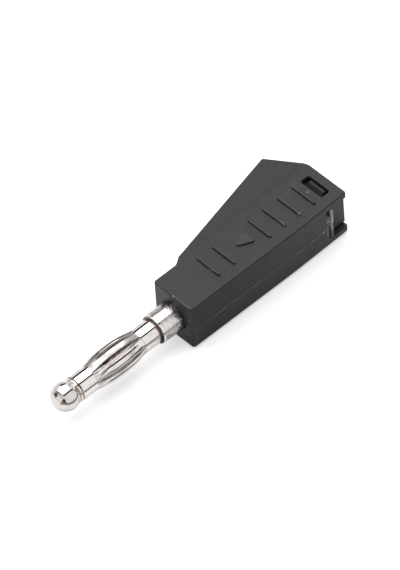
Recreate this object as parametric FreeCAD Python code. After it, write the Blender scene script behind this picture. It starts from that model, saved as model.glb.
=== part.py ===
import FreeCAD, Part
import math
import os

# A stackable 4 mm banana plug, lying on the flat side of its moulded housing.
# X runs along the pin axis from the pin to the rear socket, Y towards the wing, Z up.
# The origin is on the pin axis, in the plane of the housing's front face.
# All lengths are millimetres and all angles are degrees.

# Driving dimensions of the turned contact
nose_radius = 1.9
nose_length = 3.07
shoulder_thickness = 0.36
shoulder_radius = 1.68
mandrel_radius = 1.48
collar_length = 3.47
collar_radius = 2.03
collar_rim = 0.28
neck_step = 0.18
socket_radius = 2.02
socket_wall = 0.58
socket_lead = 0.3
socket_floor_x = 8.1
drill_angle = 118.0
body_chamfer = 0.2
wire_hole_radius = 1.0
wire_hole_angle = 50.0
wire_hole_past_axis = 0.9
wire_hole_drop = 0.4
screw_from_wall = 2.4

# Driving dimensions of the lantern spring
leaf_count = 7
spring_length = 12.7
spring_front_gap = 0.07
spring_rear_gap = 0.33
spring_clearance = 0.05
spring_sheet = 0.18
band_length = 2.35
bulge = 0.46
bow_fullness = 2.5
bow_easing = 2.2
slit_width = 0.09
seam_width = 0.12
seam_angle = 269.2
leaf_stations = 12

# Driving dimensions of the clamp screw
screw_radius = 1.25
screw_clearance = 0.04
screw_length = 1.65
screw_slot_width = 0.4
screw_slot_depth = 0.5
screw_point = 0.3

# Driving dimensions of the housing's outer form
housing_length = 26.45
front_wall = 1.0
plate_wall = 0.9
side_wall = 0.73
fit_clearance = 0.05
collar_gap = 0.05
neck_length = 3.9
step_length = 1.27
step_height = 1.0
wing_height = 4.24
wing_corner_from_rear = 3.07
rear_corner_step = 0.95
wing_drop = 0.4
ramp_from_neck = 0.28
ramp_width = 1.5
side_taper = 0.25
side_taper_length = 9.5
side_taper_radius = 120.0
front_corner_radius = 0.4
neck_corner_radius = 1.2
wing_start_radius = 0.6
wing_corner_radius = 0.35
rear_corner_radius = 1.1
rear_side_radius = 0.3
edge_radius = 0.22

# Driving dimensions of the housing's cavity, duct, windows and notch
cavity_radius = 0.5
duct_radius = 1.7
duct_wall = 0.85
cable_depth = 7.3
wire_channel_radius = 1.25
wire_channel_front_x = 6.6
duct_mouth_radius = 0.2
window_length = 1.45
window_width = 3.8
window_radius = 0.35
window_from_rear = 2.05
window_center_y = 0.25
notch_length = 3.65
notch_slope_length = 0.9
notch_slope_depth = 0.45
notch_pocket_front = 0.2
notch_pocket_height = 0.8

# Driving dimensions of the marks raised on both flat faces
mark_height = 0.25
mark_draft = 0.08
mark_crest_radius = 0.1
mark_center_y = 0.16
ridge_length = 4.1
ridge_width = 0.46
front_ridge_x = 6.3
front_ridge_pitch = 2.6
front_ridge_count = 2
rear_ridge_from_rear = 4.05
rear_ridge_pitch = 2.5
rear_ridge_count = 4
pointer_length = 2.5
pointer_width = 2.4
pointer_radius = 0.2

# Driving dimensions of the rear insert
insert_length = 7.39
insert_setback = 0.06
insert_corner_radius = 0.6
guide_gap = 0.1
guide_lead = 0.35
latch_gap = 0.22
latch_end_gap = 0.6
latch_below_surface = 0.28
latch_crest = 0.35
rib_thickness = 0.35
rib_below_side = 0.03
rib_radius = 0.1

# Sizes worked out from the driving dimensions, from the pin's tip to the rear
spring_rear = -collar_length - spring_rear_gap
spring_front = spring_rear - spring_length
shoulder_rear = spring_front - spring_front_gap
shoulder_front = shoulder_rear - shoulder_thickness
pin_tip = shoulder_front - nose_length
band_radius = mandrel_radius + spring_clearance + spring_sheet
leaf_front = spring_front + band_length
leaf_rear = spring_rear - band_length
collar_hole_radius = collar_radius + collar_gap
body_radius = socket_radius + socket_wall
guide_radius = socket_radius + guide_gap
screw_x = front_wall + screw_from_wall
cavity_half = body_radius + fit_clearance
insert_half = cavity_half - fit_clearance
half_thickness = cavity_half + plate_wall
half_neck = cavity_half + side_wall
insert_rear = housing_length - insert_setback
socket_end_x = insert_rear - insert_length
wing_start_x = neck_length + step_length
wing_start_y = half_neck + step_height
wing_corner_x = housing_length - wing_corner_from_rear
wing_corner_y = wing_start_y + wing_height
wing_angle = math.degrees(math.atan2(wing_height, wing_corner_x - wing_start_x))
window_center_x = housing_length - window_from_rear
notch_start_x = housing_length - notch_length
notch_slope_end_x = notch_start_x + notch_slope_length
rib_start_x = notch_slope_end_x + fit_clearance
taper_start_x = housing_length - side_taper_length

X_AXIS = FreeCAD.Vector(1, 0, 0)
Y_AXIS = FreeCAD.Vector(0, 1, 0)
Z_AXIS = FreeCAD.Vector(0, 0, 1)
ORIGIN = FreeCAD.Vector(0, 0, 0)


def point(x, y, z=0.0):
    return FreeCAD.Vector(x, y, z)


def line(start, end):
    return Part.LineSegment(start, end).toShape()


def arc(start, middle, end):
    return Part.Arc(start, middle, end).toShape()


def polygon(points):
    return Part.makePolygon(list(points) + [points[0]])


def corner_arc(before, corner, after, radius):
    """The two tangent points and the middle of the arc that rounds one corner."""
    to_before = (before - corner).normalize()
    to_after = (after - corner).normalize()
    half_angle = to_before.getAngle(to_after) / 2
    reach = radius / math.tan(half_angle)
    bisector = (to_before + to_after).normalize()
    center = corner + bisector * (radius / math.sin(half_angle))
    return corner + to_before * reach, center - bisector * radius, corner + to_after * reach


def rounded_outline(corners):
    """A closed flat wire through (x, y, radius) corners, each rounded by a tangent arc."""
    points = [point(x, y) for x, y, radius in corners]
    arcs = []
    for index, (x, y, radius) in enumerate(corners):
        before = points[index - 1]
        after = points[(index + 1) % len(points)]
        arcs.append(corner_arc(before, points[index], after, radius))
    edges = []
    for index, (start, middle, end) in enumerate(arcs):
        edges.append(arc(start, middle, end))
        edges.append(line(end, arcs[(index + 1) % len(arcs)][0]))
    return Part.Wire(edges)


def prism(wire, bottom, top):
    """A flat wire pushed up from one height to another."""
    face = Part.Face(wire)
    face.translate(Z_AXIS * bottom)
    return face.extrude(Z_AXIS * (top - bottom))


def rounded_bar(start_x, end_x, half_y, half_z, radius):
    """A bar along X with a rounded rectangular section, centred on the pin axis."""
    corners = [(-half_y, -half_z, radius), (half_y, -half_z, radius)]
    corners += [(half_y, half_z, radius), (-half_y, half_z, radius)]
    bar = prism(rounded_outline(corners), 0, end_x - start_x)
    bar.rotate(ORIGIN, point(1, 1, 1), 120)
    bar.translate(X_AXIS * start_x)
    return bar


def revolved(points_or_edges):
    """A closed half section in the XZ plane, turned about the pin axis."""
    return Part.Face(Part.Wire(points_or_edges)).revolve(ORIGIN, X_AXIS, 360)


def s_curve(start, end):
    """Two tangent arcs in the YZ plane that leave and arrive level."""
    middle = (start + end) * 0.5
    run = abs(middle.y - start.y)
    rise = abs(middle.z - start.z)
    radius = (run ** 2 + rise ** 2) / (2 * rise)
    half_turn = math.atan2(rise, run)
    along = math.copysign(radius * math.sin(half_turn), middle.y - start.y)
    away = math.copysign(radius * (1 - math.cos(half_turn)), middle.z - start.z)
    first = point(0, start.y + along, start.z + away)
    second = point(0, end.y - along, end.z - away)
    return [arc(start, first, middle), arc(middle, second, end)]


def side_y(x):
    """Where the straight side lies: it draws in a little towards the rear."""
    return -half_neck + side_taper * max(0, x - taper_start_x) / side_taper_length


def housing_plan():
    return rounded_outline([
        (0, -half_neck, front_corner_radius),
        (taper_start_x, -half_neck, side_taper_radius),
        (housing_length, side_y(housing_length), rear_side_radius),
        (housing_length, half_neck + rear_corner_step, rear_corner_radius),
        (wing_corner_x, wing_corner_y, wing_corner_radius),
        (wing_start_x, wing_start_y, wing_start_radius),
        (neck_length, half_neck, neck_corner_radius),
        (0, half_neck, front_corner_radius),
    ])


def housing_section():
    """The side view from the rear: a thick bar that eases down to the thinner wing."""
    near_y = -half_neck * 2
    far_y = wing_corner_y * 2
    wing_z = half_thickness - wing_drop
    ramp_start_y = half_neck - ramp_from_neck
    ramp_end_y = ramp_start_y + ramp_width
    top_ramp = s_curve(point(0, ramp_start_y, half_thickness), point(0, ramp_end_y, wing_z))
    low_ramp = s_curve(point(0, ramp_end_y, -wing_z), point(0, ramp_start_y, -half_thickness))
    edges = [line(point(0, near_y, half_thickness), point(0, ramp_start_y, half_thickness))]
    edges += top_ramp
    edges.append(line(point(0, ramp_end_y, wing_z), point(0, far_y, wing_z)))
    edges.append(line(point(0, far_y, wing_z), point(0, far_y, -wing_z)))
    edges.append(line(point(0, far_y, -wing_z), point(0, ramp_end_y, -wing_z)))
    edges += low_ramp
    edges.append(line(point(0, ramp_start_y, -half_thickness), point(0, near_y, -half_thickness)))
    edges.append(line(point(0, near_y, -half_thickness), point(0, near_y, half_thickness)))
    return Part.Face(Part.Wire(edges))


def is_level(face, where):
    """True where a face looks mostly up or down at a point."""
    u, v = face.Surface.parameter(where)
    return abs(face.normalAt(u, v).z) > 0.7


def rim_edges(solid):
    """The edges where an upright wall meets a face that looks up or down."""
    chosen = []
    for edge in solid.Edges:
        where = edge.valueAt((edge.FirstParameter + edge.LastParameter) / 2)
        faces = solid.ancestorsOfType(edge, Part.Face)
        if len(faces) == 2 and is_level(faces[0], where) != is_level(faces[1], where):
            chosen.append(edge)
    return chosen


def housing_block():
    """The outer form of the housing before anything is cut into it."""
    plan = prism(housing_plan(), -half_thickness, half_thickness)
    section = housing_section().extrude(X_AXIS * housing_length * 2)
    section.translate(X_AXIS * -housing_length / 2)
    block = plan.common(section).Solids[0]
    return block.makeFillet(edge_radius, rim_edges(block))


def duct_axis(radius):
    """The axis of a round duct that keeps the same wall beside the slanted wing edge."""
    angle = math.radians(wing_angle)
    along = point(math.cos(angle), math.sin(angle))
    inward = point(math.sin(angle), -math.cos(angle))
    return point(wing_start_x, wing_start_y) + inward * (duct_wall + radius), along


def duct_mouth():
    """Where the cable duct's axis meets the oblique wall."""
    start, along = duct_axis(duct_radius)
    corner = point(wing_corner_x, wing_corner_y)
    wall = point(housing_length, half_neck + rear_corner_step) - corner
    across = point(wall.y, -wall.x)
    return start + along * ((corner - start).dot(across) / along.dot(across))


def wire_duct():
    """A wide duct for the insulated cable, and a narrow one on to the clamp block."""
    start, along = duct_axis(duct_radius)
    step = duct_mouth() - along * cable_depth
    wide = Part.makeCylinder(duct_radius, housing_length, step, along)
    start, along = duct_axis(wire_channel_radius)
    front = start + along * ((wire_channel_front_x - start.x) / along.x)
    length = (step - front).dot(along) + fit_clearance
    narrow = Part.makeCylinder(wire_channel_radius, length, front, along)
    return wide.fuse([narrow, Part.makeSphere(wire_channel_radius, front)])


def latch_window():
    half_length = window_length / 2
    half_width = window_width / 2
    corners = []
    for along, across in ((-1, -1), (1, -1), (1, 1), (-1, 1)):
        x = window_center_x + along * half_length
        y = window_center_y + across * half_width
        corners.append((x, y, window_radius))
    return prism(rounded_outline(corners), -half_thickness * 2, half_thickness * 2)


def side_notch():
    """The opening at the rear of the straight side, between the two plates."""
    outside = -half_neck * 2
    plan = polygon([
        point(notch_start_x, side_y(notch_start_x)),
        point(notch_slope_end_x, side_y(notch_slope_end_x) + notch_slope_depth),
        point(notch_slope_end_x, 0),
        point(housing_length * 2, 0),
        point(housing_length * 2, outside),
        point(notch_start_x, outside),
    ])
    pocket = Part.makeBox(notch_slope_length - notch_pocket_front, -outside, notch_pocket_height)
    pocket.translate(point(notch_start_x + notch_pocket_front, outside, cavity_half - notch_pocket_height))
    return prism(plan, -cavity_half, cavity_half).fuse(pocket)


def ridge_outline(inset):
    """A straight grip ridge across the face with round ends."""
    half_length = ridge_length / 2 - inset
    half_width = ridge_width / 2 - inset
    inner = half_length - half_width
    left = line(point(-half_width, -inner), point(-half_width, inner))
    top = arc(point(-half_width, inner), point(0, half_length), point(half_width, inner))
    right = line(point(half_width, inner), point(half_width, -inner))
    low = arc(point(half_width, -inner), point(0, -half_length), point(-half_width, -inner))
    return Part.Wire([left, top, right, low])


def raised_mark(outline_at):
    """A mark with drafted walls and a rounded crest, standing on the upper flat face."""
    crest = half_thickness + mark_height
    wires = []
    for inset, height in ((-mark_draft, half_thickness - mark_height), (mark_draft, crest)):
        wire = outline_at(inset)
        wire.translate(Z_AXIS * height)
        wires.append(wire)
    mark = Part.makeLoft(wires, True, True)
    rim = [edge for edge in mark.Edges if edge.CenterOfMass.z > crest - mark_height / 100]
    return mark.makeFillet(mark_crest_radius, rim)


def pointer_outline(inset):
    """A plain triangle that points to the pin."""
    tip = -pointer_length / 2 + inset * 2
    back = pointer_length / 2 - inset
    half_width = pointer_width / 2 - inset
    radius = pointer_radius
    return rounded_outline([(tip, 0, radius), (back, half_width, radius), (back, -half_width, radius)])


def face_marks():
    """The grip ridges and the pointer, on the upper face and mirrored on the lower one."""
    front_row = [front_ridge_x + front_ridge_pitch * n for n in range(front_ridge_count)]
    last = housing_length - rear_ridge_from_rear
    rear_row = [last - rear_ridge_pitch * n for n in range(rear_ridge_count)]
    placed = [(raised_mark(pointer_outline), (max(front_row) + min(rear_row)) / 2)]
    placed += [(raised_mark(ridge_outline), x) for x in front_row + rear_row]
    marks = []
    for mark, x in placed:
        mark.translate(point(x, mark_center_y))
        marks += [mark, mark.mirror(ORIGIN, Z_AXIS)]
    return marks


def duct_mouth_edges(solid):
    """The edges where the duct leaves the oblique wall."""
    start, along = duct_axis(duct_radius)
    step = duct_mouth() - along * cable_depth
    chosen = []
    for edge in solid.Edges:
        first = edge.valueAt(edge.FirstParameter) - step
        middle = edge.valueAt((edge.FirstParameter + edge.LastParameter) / 2) - step
        on_duct = abs(middle.cross(along).Length - duct_radius) < duct_radius / 100
        lengthwise = (middle - first).cross(along).Length < duct_radius / 100
        if on_duct and middle.dot(along) > duct_radius and not lengthwise:
            chosen.append(edge)
    return chosen


def housing_shell():
    cavity = rounded_bar(front_wall, housing_length * 2, cavity_half, cavity_half, cavity_radius)
    room = cavity.fuse(side_notch()).removeSplitter()
    collar_hole = Part.makeCylinder(collar_hole_radius, front_wall * 3, point(-front_wall, 0), X_AXIS)
    shell = housing_block().cut(wire_duct())
    shell = shell.makeFillet(duct_mouth_radius, duct_mouth_edges(shell))
    for opening in (room, collar_hole, latch_window()):
        shell = shell.cut(opening)
    return shell.fuse(face_marks())


def latch():
    """One snap ridge: a long ramp that faces the pin, a short crest and an upright back."""
    front = window_center_x - window_length / 2 + latch_gap
    back = window_center_x + window_length / 2 - latch_gap
    top = half_thickness - latch_below_surface
    width = window_width - latch_end_gap * 2
    side = window_center_y - width / 2
    profile = [point(front, side, guide_radius), point(front, side, insert_half)]
    profile += [point(back - latch_crest, side, top), point(back, side, top)]
    profile += [point(back, side, guide_radius)]
    return Part.Face(polygon(profile)).extrude(Y_AXIS * width)


def side_rib():
    """The upright rib that fills the notch in the housing's side and stops the insert."""
    outer = side_y(rib_start_x) + rib_below_side
    corners = [(rib_start_x, outer, rib_radius), (rib_start_x, -guide_radius, rib_radius)]
    corners += [(rib_start_x + rib_thickness, -guide_radius, rib_radius)]
    corners += [(rib_start_x + rib_thickness, outer, rib_radius)]
    return prism(rounded_outline(corners), -insert_half, insert_half)


def rear_insert():
    body = rounded_bar(socket_end_x, insert_rear, insert_half, insert_half, insert_corner_radius)
    ridge = latch()
    body = body.fuse([ridge, ridge.mirror(ORIGIN, Z_AXIS), side_rib()])
    bore = Part.makeCylinder(guide_radius, housing_length * 2, ORIGIN, X_AXIS)
    wide = guide_radius + guide_lead
    lead = Part.makeCone(guide_radius, wide, guide_lead, point(insert_rear - guide_lead, 0), X_AXIS)
    return body.cut([bore, lead])


def contact_section():
    """Half the lengthwise section of the turned contact, from the tip to the socket."""
    nose_center = pin_tip + nose_radius
    crease = math.sqrt(nose_radius ** 2 - (shoulder_front - nose_center) ** 2)
    edge = shoulder_thickness / 4
    collar = -collar_length
    rim_cut = collar_rim * (1 - math.sqrt(0.5))
    cone = socket_radius / math.tan(math.radians(drill_angle / 2))
    outline = [
        (shoulder_front, crease),
        (shoulder_front, shoulder_radius - edge),
        (shoulder_front + edge, shoulder_radius),
        (shoulder_rear - edge, shoulder_radius),
        (shoulder_rear, shoulder_radius - edge),
        (shoulder_rear, mandrel_radius),
        (collar, mandrel_radius),
        (collar, collar_radius - collar_rim),
    ]
    body = [
        (collar + collar_rim, collar_radius),
        (0, collar_radius),
        (0, collar_radius - neck_step),
        (front_wall, collar_radius - neck_step),
        (front_wall, body_radius - body_chamfer),
        (front_wall + body_chamfer, body_radius),
        (socket_end_x - body_chamfer, body_radius),
        (socket_end_x, body_radius - body_chamfer),
        (socket_end_x, socket_radius + socket_lead),
        (socket_end_x - socket_lead, socket_radius),
        (socket_floor_x, socket_radius),
        (socket_floor_x - cone, 0),
        (pin_tip, 0),
    ]
    slant = nose_radius * math.sqrt(0.5)
    nose_side = point(nose_center - slant, 0, slant)
    nose = arc(point(pin_tip, 0), nose_side, point(shoulder_front, 0, crease))
    edges = [nose]
    for start, end in zip(outline, outline[1:]):
        edges.append(line(point(start[0], 0, start[1]), point(end[0], 0, end[1])))
    rim = point(collar + rim_cut, 0, collar_radius - rim_cut)
    edges.append(arc(point(collar, 0, collar_radius - collar_rim), rim, point(body[0][0], 0, body[0][1])))
    for start, end in zip(body, body[1:]):
        edges.append(line(point(start[0], 0, start[1]), point(end[0], 0, end[1])))
    return edges


def wire_hole():
    """The slanted blind hole that takes the stripped wire from the duct."""
    angle = math.radians(wire_hole_angle)
    direction = point(math.cos(angle), math.sin(angle))
    start = point(screw_x, 0, -wire_hole_drop) - direction * wire_hole_past_axis
    return Part.makeCylinder(wire_hole_radius, body_radius * 4, start, direction)


def contact_body():
    turned = revolved(contact_section())
    thread_length = body_radius * 2 + wire_hole_drop
    thread = Part.makeCylinder(screw_radius, thread_length, point(screw_x, 0, -wire_hole_drop), Z_AXIS)
    return turned.cut([wire_hole(), thread])


def leaf_section(x, lift):
    """The cross section of one leaf: the arc it had in the tube, lifted off the mandrel."""
    half_angle = math.pi / leaf_count - slit_width / 2 / band_radius
    inner = band_radius - spring_sheet

    def at(radius, angle):
        return point(x, radius * math.cos(angle) + lift, radius * math.sin(angle))

    outside = arc(at(band_radius, -half_angle), at(band_radius, 0), at(band_radius, half_angle))
    inside = arc(at(inner, half_angle), at(inner, 0), at(inner, -half_angle))
    first = line(at(band_radius, half_angle), at(inner, half_angle))
    last = line(at(inner, -half_angle), at(band_radius, -half_angle))
    return Part.Wire([outside, first, inside, last])


def leaf():
    """One leaf, bowed outwards between the two bands, with a long even crown."""
    middle = (leaf_front + leaf_rear) / 2
    half_length = (leaf_rear - leaf_front) / 2
    sections = []
    for station in range(leaf_stations + 1):
        offset = 2 * station / leaf_stations - 1
        lift = bulge * (1 - abs(offset) ** bow_fullness) ** bow_easing
        sections.append(leaf_section(middle + half_length * offset, lift))
    return Part.makeLoft(sections, True, False)


def band(start_x):
    inner = band_radius - spring_sheet
    outside = Part.makeCylinder(band_radius, band_length, point(start_x, 0), X_AXIS)
    return outside.cut(Part.makeCylinder(inner, band_length, point(start_x, 0), X_AXIS))


def lantern_spring():
    """A rolled sleeve, slit into bowed leaves, with its open seam in line with one slit."""
    leaves = []
    for index in range(leaf_count):
        piece = leaf()
        piece.rotate(ORIGIN, X_AXIS, (index + 0.5) * 360 / leaf_count)
        leaves.append(piece)
    sleeve = band(spring_front).fuse(leaves + [band(leaf_rear)])
    seam = Part.makeBox(spring_length * 2, band_radius * 2, seam_width)
    seam.translate(point(spring_front - spring_length / 2, 0, -seam_width / 2))
    sleeve = sleeve.cut(seam)
    sleeve.rotate(ORIGIN, X_AXIS, seam_angle)
    return sleeve.Solids[0]


def clamp_screw():
    """The headless screw that presses the wire, drawn with a plain shank and backed off."""
    radius = screw_radius - screw_clearance
    top = math.sqrt(body_radius ** 2 - radius ** 2)
    end = top - screw_length
    tip = Part.makeCone(radius - screw_point, radius, screw_point, point(screw_x, 0, end), Z_AXIS)
    shank_start = point(screw_x, 0, end + screw_point)
    shank = Part.makeCylinder(radius, screw_length - screw_point, shank_start, Z_AXIS)
    slot = Part.makeBox(radius * 4, screw_slot_width, screw_slot_depth * 2)
    slot.translate(point(screw_x - radius * 2, -screw_slot_width / 2, top - screw_slot_depth))
    return shank.fuse(tip).cut(slot)


def export(name, shape):
    """Write one sub-part as a single clean solid."""
    solid = shape.removeSplitter()
    solid = solid.Solids[0] if len(solid.Solids) == 1 else solid
    solid.exportStep("parts/" + name + ".step")
    print(name, "solids", len(solid.Solids), "volume", round(solid.Volume, 3), "valid", solid.isValid())


os.makedirs("parts", exist_ok=True)
export("housing_shell", housing_shell())
export("rear_insert", rear_insert())
export("contact_body", contact_body())
export("lantern_spring", lantern_spring())
export("clamp_screw", clamp_screw())
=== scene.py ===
import math

import bmesh
import bpy
from mathutils import Matrix, Vector, noise as wave


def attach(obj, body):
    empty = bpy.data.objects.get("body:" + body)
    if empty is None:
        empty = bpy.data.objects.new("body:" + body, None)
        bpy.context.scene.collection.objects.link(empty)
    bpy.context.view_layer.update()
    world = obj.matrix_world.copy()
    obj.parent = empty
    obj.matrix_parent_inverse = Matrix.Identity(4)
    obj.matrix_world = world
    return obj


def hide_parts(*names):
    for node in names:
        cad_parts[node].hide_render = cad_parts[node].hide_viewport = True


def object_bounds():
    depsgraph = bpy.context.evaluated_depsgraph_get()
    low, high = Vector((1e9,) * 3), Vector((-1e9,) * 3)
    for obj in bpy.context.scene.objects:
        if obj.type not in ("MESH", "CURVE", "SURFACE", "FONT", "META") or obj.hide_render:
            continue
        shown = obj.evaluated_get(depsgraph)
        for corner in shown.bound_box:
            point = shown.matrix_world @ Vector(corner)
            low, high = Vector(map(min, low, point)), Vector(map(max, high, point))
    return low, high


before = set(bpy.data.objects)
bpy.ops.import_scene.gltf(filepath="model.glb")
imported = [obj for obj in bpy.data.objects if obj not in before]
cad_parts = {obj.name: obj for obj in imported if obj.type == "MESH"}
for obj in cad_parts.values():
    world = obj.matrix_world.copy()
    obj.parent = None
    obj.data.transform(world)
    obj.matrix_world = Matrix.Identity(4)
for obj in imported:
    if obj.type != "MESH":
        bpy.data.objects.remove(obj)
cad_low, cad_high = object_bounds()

MM = 0.001
FULL_TURN = 2 * math.pi
UP = Vector((0, 0, 1))

# Sizes that follow the CAD part, in millimetres
PIN_TIP = -20.0
NOSE_RADIUS = 1.9
SHOULDER_FRONT = -16.88
SHOULDER_REAR = -16.60
SHOULDER_RADIUS = 1.68
MANDREL_RADIUS = 1.48
COLLAR_FRONT = -3.47
COLLAR_RADIUS = 2.03
COLLAR_RIM = 0.28
NECK_RADIUS = 1.85
WALL_REAR = 1.0
BODY_RADIUS = 2.6
BODY_CHAMFER = 0.2
SOCKET_RADIUS = 2.02
SOCKET_LEAD = 0.3
SOCKET_FLOOR = 8.1
SOCKET_END = 19.0
DRILL_CONE = 1.21
WIRE_HOLE_RADIUS = 1.0
WIRE_HOLE_ANGLE = 50.0
WIRE_HOLE_PAST = 0.9
WIRE_HOLE_DROP = 0.4
SCREW_X = 3.4
SCREW_RADIUS = 1.25
SPRING_FRONT = -16.49
SPRING_REAR = -3.8
BAND_LENGTH = 2.34
BAND_RADIUS = 1.71
LEAVES_FRONT = SPRING_FRONT + BAND_LENGTH
LEAVES_REAR = SPRING_REAR - BAND_LENGTH
SHEET = 0.18
BULGE = 0.46
SLIT = 0.09
SEAM = 0.12
SEAM_ANGLE = 269.2
LEAVES = 7
LEAF_ANGLE = FULL_TURN / LEAVES
SIDE_Y = -3.38
TAPER_START = 16.95
TAPER = 0.25 / 9.5
NOTCH_FRONT = 22.8
NOTCH_SLOPE = 0.9
NOTCH_DEPTH = 0.45

# The bow of a leaf is a little fuller than the CAD part's
BOW_FULLNESS = 2.6
BOW_EASING = 1.5

# Sizes that only the detailed pieces have, in millimetres
SHOULDER_EDGE = 0.09
SLEEVE_END = 0.05
SLEEVE_EDGE = 0.03
BAND_STATION = 0.4
FLASH_FRONT = 1.7
FLASH_LENGTH = 20.7
FLASH_MIDDLE = -0.45
FLASH_FADE = 0.1
FLASH_BOLD = ((0.0, 2.4), (4.0, 8.2), (17.3, 19.2))
FLASH_FAINT = 0.6
FLASH_LEAST = 0.008
FLASH_HEIGHT, FLASH_HEIGHT_NOISE = 0.045, 0.035
FLASH_WIDTH, FLASH_WIDTH_NOISE = 0.06, 0.03
FLASH_WANDER = 0.02
GATE_X = (22.9, 23.7)
GATE_Z = (-0.55, 1.12)
GATE_DEPTH, GATE_SLANT, GATE_NOISE = 0.05, 0.10, 0.09
TRIM_SINK = 0.02
FLOOR_GAP = 0.02

# How finely the detailed pieces are divided
TURNED_STEPS = 192
CUTTER_STEPS = 64
NOSE_STEPS = 72
EDGE_STEPS = 6
RIM_STEPS = 14
BOW_STEPS = 110
LEAF_STEPS = 14
EDGE_POINTS = 4
FLASH_STEPS = 300
GATE_COLUMNS = 20
GATE_ROWS = 48
WELD = 0.0002

# Tones of the marks on the plastic: painted shade on the edges, a painted highlight on the
# crests, and dust
EDGE_SHADE_TONE = (0.004, 0.004, 0.004)
CREST_HIGHLIGHT_TONE = (0.055, 0.055, 0.056)
DUST_TONE = (0.22, 0.22, 0.23)

# Tones of the marks on the metal, painted shade and painted reflections among them
WARM_SHARES = (0.80, 0.74, 0.71)
SCRATCH_TONE = (0.30, 0.26, 0.25)
SLIT_SHADE_TONE = (0.20, 0.155, 0.135)
DRAWN_TONE = (0.11, 0.095, 0.09)
TOP_LEAF_SHADE_TONE = (0.25, 0.245, 0.24)
LEAF_REFLECTION_TONE = (0.015, 0.012, 0.010)
BAND_LINE_TONE = (0.12, 0.10, 0.09)
BALL_TONE = (0.60, 0.57, 0.565)
STAIN_TONE = (0.42, 0.34, 0.32)
TRIANGLE_REFLECTION_TONE = (0.34, 0.235, 0.205)
WEDGE_REFLECTION_TONE = (0.30, 0.285, 0.28)
WEDGE_EDGE_REFLECTION_TONE = (0.10, 0.09, 0.09)
COLLAR_SHADE_TONE = (0.44, 0.42, 0.43)
SPECK_TONE = (0.05, 0.045, 0.042)
TURNING_TONE = (0.20, 0.19, 0.19)
CREASE_SHADE_TONE = (0.20, 0.14, 0.125)
TARNISH_SHADE_TONE = (0.10, 0.07, 0.055)
TARNISH_LIT_TONE = (0.85, 0.80, 0.78)
STREAK_TONE = (0.62, 0.53, 0.49)
RIM_SHADE_TONE = (0.20, 0.155, 0.13)
SIDE_RIM_SHADE_TONE = (0.03, 0.025, 0.02)

# Where the marks, the painted shade and the painted reflections on the metal lie, in millimetres:
# low limit, high limit, softness of both.
# "aside" is measured across a leaf or the ball, "along" along the ball's upper side.
CREASE_X = (-17.6, -16.9, 0.2)
RECESS_X = (-16.56, -3.4, 0.02)
REAR_GAP_X = (-3.95, -3.40, 0.03)
FRONT_RIM_X = (-3.52, -3.37, 0.02)
ON_LEAF_X = (LEAVES_FRONT + 0.1, LEAVES_REAR - 0.1, 0.1)
MID_LEAF_X = (LEAVES_FRONT + 1.4, LEAVES_REAR - 1.2, 0.5)
START_LINE_X = (LEAVES_FRONT - 0.02, LEAVES_FRONT + 0.05, 0.02)
END_LINE_X = (LEAVES_REAR - 0.05, LEAVES_REAR + 0.02, 0.02)
TOP_LEAF_Y = (-0.78, 0.9, 0.08)
LEAF_REFLECTION_ASIDE = (-0.29, -0.10, 0.012)
TRIANGLE_ALONG = (-19.4, -18.46, 0.03)
TRIANGLE_TIP = -19.42
TRIANGLE_ASIDE = -0.43
TRIANGLE_SPREAD = 0.52
WEDGE_ALONG = (-18.95, -18.6, 0.05)
WEDGE_ASIDE = (0.55, 1.2, 0.05)
WEDGE_EDGE_ALONG = (-18.62, -18.52, 0.02)
WEDGE_EDGE_ASIDE = (0.1, 1.15, 0.05)

# The ball's upper side leans over to the straight side: cosine and sine of that lean, and how far
# the lines along it slant with height
LEAN_COSINE = 0.831
LEAN_SINE = 0.556
LEAN_SLANT = 0.468


# Small helpers for node trees

def add(tree, kind, **values):
    node = tree.nodes.new(kind)
    for key, value in values.items():
        setattr(node, key, value)
    return node


def join(tree, source, target):
    tree.links.new(source, target)


def new_material(name):
    """An empty node material, its tree, and the socket that takes the surface."""
    material = bpy.data.materials.new(name)
    material.use_nodes = True
    tree = material.node_tree
    tree.nodes.clear()
    return material, tree, add(tree, "ShaderNodeOutputMaterial").inputs["Surface"]


def math_node(tree, operation, first, second=None):
    node = add(tree, "ShaderNodeMath", operation=operation)
    for socket, value in zip(node.inputs, (first, second)):
        if value is None:
            continue
        if isinstance(value, (int, float)):
            socket.default_value = value
        else:
            join(tree, value, socket)
    return node.outputs[0]


def chain(tree, operation, values):
    result = values[0]
    for value in values[1:]:
        result = math_node(tree, operation, result, value)
    return result


def product(tree, *values):
    return chain(tree, "MULTIPLY", values)


def total(tree, *values):
    return chain(tree, "ADD", values)


def highest(tree, *values):
    return chain(tree, "MAXIMUM", values)


def remap(tree, value, low, high, out_low=0.0, out_high=1.0):
    node = add(tree, "ShaderNodeMapRange", clamp=True)
    join(tree, value, node.inputs["Value"])
    node.inputs["From Min"].default_value = low
    node.inputs["From Max"].default_value = high
    node.inputs["To Min"].default_value = out_low
    node.inputs["To Max"].default_value = out_high
    return node.outputs["Result"]


def between(tree, value, low, high, soft):
    """1 where a value lies between two limits, easing off over a soft distance."""
    rise = remap(tree, value, low - soft, low + soft)
    fall = remap(tree, value, high + soft, high - soft)
    return product(tree, rise, fall)


def ramp(tree, value, low, high, out_low=0.0, out_high=1.0):
    """remap() with its limits in millimetres."""
    return remap(tree, value, low * MM, high * MM, out_low, out_high)


def band(tree, value, low, high, soft):
    """between() with its limits in millimetres."""
    return between(tree, value, low * MM, high * MM, soft * MM)


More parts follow.
